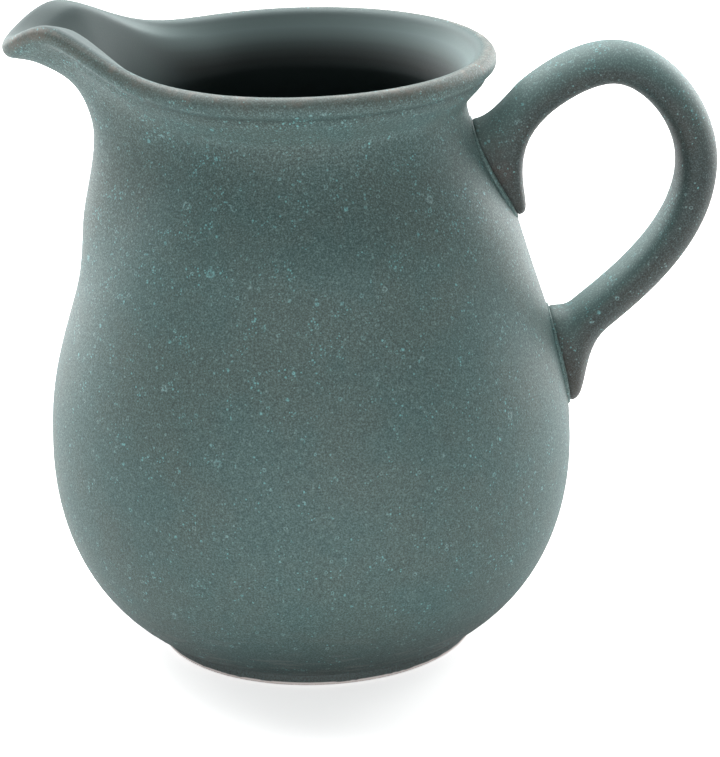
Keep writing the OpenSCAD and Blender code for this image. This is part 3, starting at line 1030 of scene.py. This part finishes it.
def ground_colour(tree, coat, grounds, grain_amount, salt_amount, top_highlight):
    """Clouds, grain, salt and a painted highlight on upward faces on the outside, and the lining on the
    inside.
    """
    colour = mix_colour(tree, coat["Clouds"], *grounds)
    grain = times(tree, coat["Grain"], grain_amount)
    salt = times(tree, coat["Salt"], coat["crowded"], salt_amount)
    if "lining" in coat:
        outside = maths(tree, "SUBTRACT", 1.0, coat["lining"])
        colour = mix_colour(tree, coat["lining"], colour, lining_colour_and_shade(tree, coat))
        grain = times(tree, grain, outside)
        salt = times(tree, salt, outside)
    colour = mix_colour(tree, grain, colour, PALE_CRYSTAL)
    colour = mix_colour(tree, salt, colour, PALE_DOT)
    # Painted highlight: a paler ground where the piece faces up, used on the handle
    if top_highlight:
        colour = mix_colour(tree, times(tree, coat["crowd"], top_highlight), colour, PALE_CRYSTAL)
    return colour


print("the lining has its last shade", LINING_DOWN[-1], "mm below the top of the lip")

# %% [markdown]
# ## What the shape did to the glaze
# Melted glaze runs off edges and into hollows: thin and brown on the lip's roll, almost gone on its crest,
# rusty at the roots. The crease is darkened, partly glaze pooled there and partly painted shade. Low on the
# wall the level lines of the turning tool show through, and noise squeezed flat gives them.

# %% Edges, crease and turning marks
TURNING = 1.4 * MM
SQUEEZE = (0.12, 0.12, 1.0)
CREASE_DARK = 0.5
LOW_WALL_AMOUNT = 0.45
STREAK_AMOUNT = 0.35
CREST_AMOUNT = 0.55


def low_wall(tree, coat, colour):
    """Makes the ground browner and darker towards the foot, and adds the turning marks above it."""
    squeezed = vectors(tree, "MULTIPLY", coat["where"], SQUEEZE)
    lines = noise_field(tree, squeezed, TURNING, detail=3.0)["Fac"]
    streaks = times(tree, fade(tree, lines, 0.52, 0.66), coat["turned"])
    colour = mix_colour(tree, times(tree, coat["turned"], LOW_WALL_AMOUNT), colour, LOW_WALL)
    return mix_colour(tree, times(tree, streaks, STREAK_AMOUNT), colour, TURNED_PALE)


def shaped_colour(tree, coat, colour, edge):
    """Adds the crease's pooled glaze and painted shade, the low wall, a patchy thin edge and the crest of
    the lip.
    """
    if "crease" in coat:
        # Painted shade in the crease under the lip, together with glaze pooled there
        colour = mix_colour(tree, times(tree, coat["crease"], CREASE_DARK), colour, CREASE_POOL_AND_SHADE)
        colour = low_wall(tree, coat, colour)
    patchy = scaled(tree, coat["Gather"], by=0.6, plus=0.4)
    if edge:
        layer, amount, edge_colour = edge
        colour = mix_colour(tree, times(tree, coat[layer], patchy, amount), colour, edge_colour)
    if "crest" in coat:
        colour = mix_colour(tree, times(tree, coat["crest"], patchy, CREST_AMOUNT), colour, CREST_PALE)
    return colour


print("turning marks every", round(TURNING / MM, 1), "mm or so")

# %% [markdown]
# ## Crystals on the coat
# Three sizes are enough: dust, dots that are mostly small rings, and a few blooms. The grain breaks the
# larger ones up, so that none is a clean disc, and each takes its own tint of turquoise.

# %% Crystals by size, in millimetres
CRYSTAL_SIZES = {
    "dust": {"Spacing": 0.8, "Radius": 0.4, "Ragged": 0.4, "Chance": 0.55, "Hollow": 0.0, "Strength": 0.55},
    "dots": {"Spacing": 1.7, "Radius": 0.78, "Ragged": 0.8, "Chance": 0.34, "Hollow": 0.85, "Strength": 0.6},
    "blooms": {"Spacing": 6.5, "Radius": 1.6, "Ragged": 1.6, "Chance": 0.26, "Hollow": 0.8, "Strength": 0.7},
}


def scatter(tree, coat, chance, kind):
    """One size of crystal: where it is, and a random shade for each."""
    sizes = {name: kind[name] * MM for name in ("Spacing", "Radius", "Ragged")}
    here = times(tree, chance, kind["Chance"])
    group = place(tree, crystals, Vector=coat["where"], Hollow=kind["Hollow"], Chance=here, **sizes)
    return group.outputs["Mask"], group.outputs["Shade"]


def with_crystals(tree, coat, colour, chance):
    """Adds the crystals to a colour, and returns the relief of the larger ones too."""
    broken = scaled(tree, coat["Grain"], by=0.75, plus=0.35)
    masks = {}
    for name, kind in CRYSTAL_SIZES.items():
        mask, shade = scatter(tree, coat, chance, kind)
        if name == "dust":
            cover = times(tree, mask, kind["Strength"])
            tint = mix_colour(tree, coat["Gather"], PALE_CRYSTAL, BRIGHT_CRYSTAL)
        else:
            cover = times(tree, mask, broken, kind["Strength"])
            tint = mix_colour(tree, shade, PALE_DOT, BRIGHT_CRYSTAL)
        colour = mix_colour(tree, cover, colour, tint)
        masks[name] = mask
    return colour, maths(tree, "MAXIMUM", masks["dots"], masks["blooms"])


print("sizes of crystal:", list(CRYSTAL_SIZES))

# %% [markdown]
# ## The glaze on each piece
# The surface is a satin, rough enough to spread every reflection. The crystals stand a few hundredths of
# a millimetre proud, far too little to show on an outline, so a Bump node is right for them. The handle's
# ground is darker and less grainy than the wall's.

# %% Glaze materials
GLOSS = 0.40
SATIN, SATIN_GRAIN = 0.66, -0.08
RELIEF_GRAIN = 0.35
RELIEF = 0.06 * MM


def glaze(
    name, grounds, grain, salt=0.16, crystal=1.0, layers=("crowd",), crowding=(0.65, 0.7), edge=None, top_highlight=0
):
    """A satin glaze that reads the layers of its piece. The other values say how much of each effect."""
    material, tree, shader = new_material(name)
    shader.inputs["Specular IOR Level"].default_value = GLOSS
    coat = coat_sources(tree, layers, crowding)
    colour = ground_colour(tree, coat, grounds, grain, salt, top_highlight)
    colour = shaped_colour(tree, coat, colour, edge)
    colour, crystal_relief = with_crystals(tree, coat, colour, crystal_chance(tree, coat, crystal))
    plug(tree, shader.inputs["Base Color"], colour)
    plug(tree, shader.inputs["Roughness"], scaled(tree, coat["Grain"], by=SATIN_GRAIN, plus=SATIN))
    relief = scaled(tree, coat["Grain"], by=RELIEF_GRAIN, plus=crystal_relief)
    bump = add(tree, "ShaderNodeBump", Strength=0.35, Distance=RELIEF, Height=relief)
    plug(tree, shader.inputs["Normal"], bump.outputs["Normal"])
    print(name, "uses", len(tree.nodes), "nodes")
    return material


BODY_GROUNDS = (TEAL_GROUND, BROWN_GROUND)
STRAP_GROUNDS = (STRAP_GROUND, STRAP_BROWN)
LIP_EDGE = ("roll", 0.75, THIN_BROWN)
ROOT_EDGE = ("root", 0.35, ROOT_RUST)
wall_glaze = glaze("satin_glaze_wall", BODY_GROUNDS, grain=0.40, layers=GLAZE_LAYERS, edge=LIP_EDGE)
# The handle gets a painted highlight, a paler ground where the strap faces up.
strap_glaze = glaze(
    "satin_glaze_strap",
    STRAP_GROUNDS,
    grain=0.16,
    salt=0.30,
    crystal=1.5,
    layers=("crowd", "root"),
    crowding=(0.3, 1.7),
    edge=ROOT_EDGE,
    top_highlight=0.52,
)
slip_glaze = glaze("satin_glaze_slip", BODY_GROUNDS, grain=0.7, crystal=1.6)
wall.data.materials.append(wall_glaze)
strap.data.materials.append(strap_glaze)
upper_slip.data.materials.append(slip_glaze)
lower_slip.data.materials.append(slip_glaze)

# %% [markdown]
# ## The foot's finish
# The foot's outer face is glazed a little thinner and browner than the wall. Its lowest edge is bare
# fired clay, pale and dry, with iron specks, and a painted contact shadow darkens its lowest few tenths of a
# millimetre. The glaze line is wiped by hand, so noise makes it wander by a few tenths of a millimetre.

# %% Colours of the foot, and where its glaze ends
BARE_CLAY = (0.80, 0.73, 0.71, 1)
CLAY_SPECK = (0.30, 0.22, 0.18, 1)
FOOT_GLAZE = (0.052, 0.060, 0.060, 1)
# Colour of the painted contact shadow along the foot's lowest edge
CONTACT_SHADOW_COLOUR = (0.10, 0.085, 0.08, 1)
GLAZE_LINE = 1.0 * MM

foot_material, tree, shader = new_material("foot_clay_and_glaze")
where = add(tree, "ShaderNodeTexCoord").outputs["Object"]
ground = place(tree, grain_group, Vector=where).outputs
apart = add(tree, "ShaderNodeSeparateXYZ", Vector=where)
wander = scaled(tree, ground["Gather"], by=0.2 * MM, plus=apart.outputs["Z"])
glazed_outside = fade(tree, wander, GLAZE_LINE, GLAZE_LINE + 0.25 * MM)
radius = add(tree, "ShaderNodeVectorMath", {"operation": "LENGTH"})
plug(tree, radius.inputs[0], where)
outside = fade(tree, radius.outputs["Value"], foot_r - 2.2 * MM, foot_r - 1.2 * MM)
glazed = times(tree, glazed_outside, outside)
print("the foot's glaze ends", round(GLAZE_LINE / MM, 1), "mm above the table")

# %% Foot material
specks = place(tree, crystals, Vector=where, Spacing=1.6 * MM, Radius=0.35 * MM, Chance=0.3, Ragged=0.2 * MM)
clay = mix_colour(tree, times(tree, specks.outputs["Mask"], 0.5), BARE_CLAY, CLAY_SPECK)
clay = mix_colour(tree, times(tree, ground["Grain"], 0.12), clay, CLAY_SPECK)
# Painted contact shadow: the lowest few tenths of a millimetre of the outer edge darkened
painted_contact_shadow = times(tree, fade(tree, apart.outputs["Z"], 0.34 * MM, 0.14 * MM), outside, 0.8)
clay = mix_colour(tree, painted_contact_shadow, clay, CONTACT_SHADOW_COLOUR)
band = mix_colour(tree, times(tree, ground["Grain"], 0.3), FOOT_GLAZE, PALE_CRYSTAL)
plug(tree, shader.inputs["Base Color"], mix_colour(tree, glazed, clay, band))
plug(tree, shader.inputs["Roughness"], scaled(tree, glazed, by=-0.25, plus=0.9))
bump = add(tree, "ShaderNodeBump", Strength=0.5, Distance=0.08 * MM, Height=ground["Grain"])
plug(tree, shader.inputs["Normal"], bump.outputs["Normal"])
foot.data.materials.append(foot_material)
print("foot material nodes:", len(tree.nodes))

# %% [markdown]
# ## The floor
# A white floor in dim light turns grey, and more light would wash out the dark glaze. So the pale table
# glows a little, and mostly towards the camera: Light Path tells its shader which rays come from there.

# %% Floor
FLOOR_SIZE = 8.0
FLOOR_WHITE = (0.82, 0.82, 0.82, 1)
CAMERA_GLOW, GLOW = 0.64, 0.05

floor_mesh = bmesh.new()
bmesh.ops.create_grid(floor_mesh, x_segments=1, y_segments=1, size=FLOOR_SIZE / 2)
floor_data = bpy.data.meshes.new("floor")
floor_mesh.to_mesh(floor_data)
floor_mesh.free()
floor = into_scene("floor", floor_data)
floor_material, floor_tree, floor_shader = new_material("pale_table")
seen = add(floor_tree, "ShaderNodeLightPath").outputs["Is Camera Ray"]
for label, value in (
    ("Base Color", FLOOR_WHITE),
    ("Roughness", 0.9),
    ("Specular IOR Level", 0.1),
    ("Emission Color", (1, 1, 1, 1)),
    ("Emission Strength", scaled(floor_tree, seen, by=CAMERA_GLOW, plus=GLOW)),
):
    plug(floor_tree, floor_shader.inputs[label], value)
floor_data.materials.append(floor_material)
floor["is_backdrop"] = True
print("floor", FLOOR_SIZE, "m across")

# %% [markdown]
# ## Soft light
# Four soft panels and a dim grey sky. One stands behind the pitcher on each side, and the satin mirrors
# them where it turns away, so that the outline brightens while the middle stays dark. A wide one overhead
# lights the lip, the arch and the far wall inside. A long low one in front fills the belly but can't reach
# down into the neck, so the inside stays dark.

# %% Lights
MIDDLE = Vector((0.01, 0, 0.09))
SKY_STRENGTH = 0.10


def soft_panel(name, place_at, width, height, watts):
    """A rectangular soft light that faces the middle of the pitcher."""
    data = bpy.data.lights.new(name, "AREA")
    data.shape = "RECTANGLE"
    data.size = width
    data.size_y = height
    data.energy = watts
    lamp = into_scene(name, data)
    lamp.location = place_at
    lamp.rotation_euler = (MIDDLE - Vector(place_at)).to_track_quat("-Z", "Y").to_euler()
    lamp.visible_camera = False


soft_panel("left_panel", (-0.75, 0.75, 0.35), 0.8, 0.9, 15)
soft_panel("right_panel", (0.80, 0.72, 0.35), 0.8, 0.9, 22)
soft_panel("top_panel", (-0.12, 0.50, 1.0), 1.4, 1.0, 26)
soft_panel("front_panel", (0.0, -1.60, 0.12), 3.0, 0.26, 17)

world = bpy.data.worlds.new("studio")
bpy.context.scene.world = world
world.use_nodes = True
sky = world.node_tree.nodes["Background"]
sky.inputs["Color"].default_value = (1, 1, 1, 1)
sky.inputs["Strength"].default_value = SKY_STRENGTH
bpy.context.scene.view_settings.view_transform = "Standard"

# %% [markdown]
# ## The camera
# A long lens from a little above, as for a shop's picture: the camera stands almost a metre away, looks
# down by about 19 degrees, leans a degree and a half, and sees the spout on the left.

# %% Camera
CAMERA_DOWN = math.radians(19.436)
CAMERA_LEAN = math.radians(-1.549)
CAMERA_TURN = math.radians(-1.4)
CAMERA_AWAY = 0.96319
CAMERA_AIM = Vector((0.01398, 0, 0.07349))
CAMERA_LENS = 172.3

look = Vector((0, math.cos(CAMERA_DOWN), -math.sin(CAMERA_DOWN)))
level = Vector((1, 0, 0))
upright = Vector((0, math.sin(CAMERA_DOWN), math.cos(CAMERA_DOWN)))
right = math.cos(CAMERA_LEAN) * level + math.sin(CAMERA_LEAN) * upright
up = -math.sin(CAMERA_LEAN) * level + math.cos(CAMERA_LEAN) * upright
stand = CAMERA_AIM - CAMERA_AWAY * look
facing = Matrix((right, up, -look)).transposed().to_4x4()

camera_data = bpy.data.cameras.new("camera")
camera_data.sensor_fit = "HORIZONTAL"
camera_data.sensor_width = 36
camera_data.lens = CAMERA_LENS
camera = into_scene("camera", camera_data)
camera.matrix_world = Matrix.Rotation(CAMERA_TURN, 4, "Z") @ Matrix.Translation(stand) @ facing
bpy.context.scene.camera = camera
print("camera at", [round(value, 3) for value in camera.matrix_world.translation])

# %% [markdown]
# ## Print the sizes and finish
# The boxes of the frame's solids and of the finished pieces are printed side by side.

# %% Sizes and finish
visual_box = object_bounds()
for label, box in (("frame", cad_box), ("visual", visual_box)):
    print(label, "box in mm:", [[round(value / MM, 1) for value in corner] for corner in box])
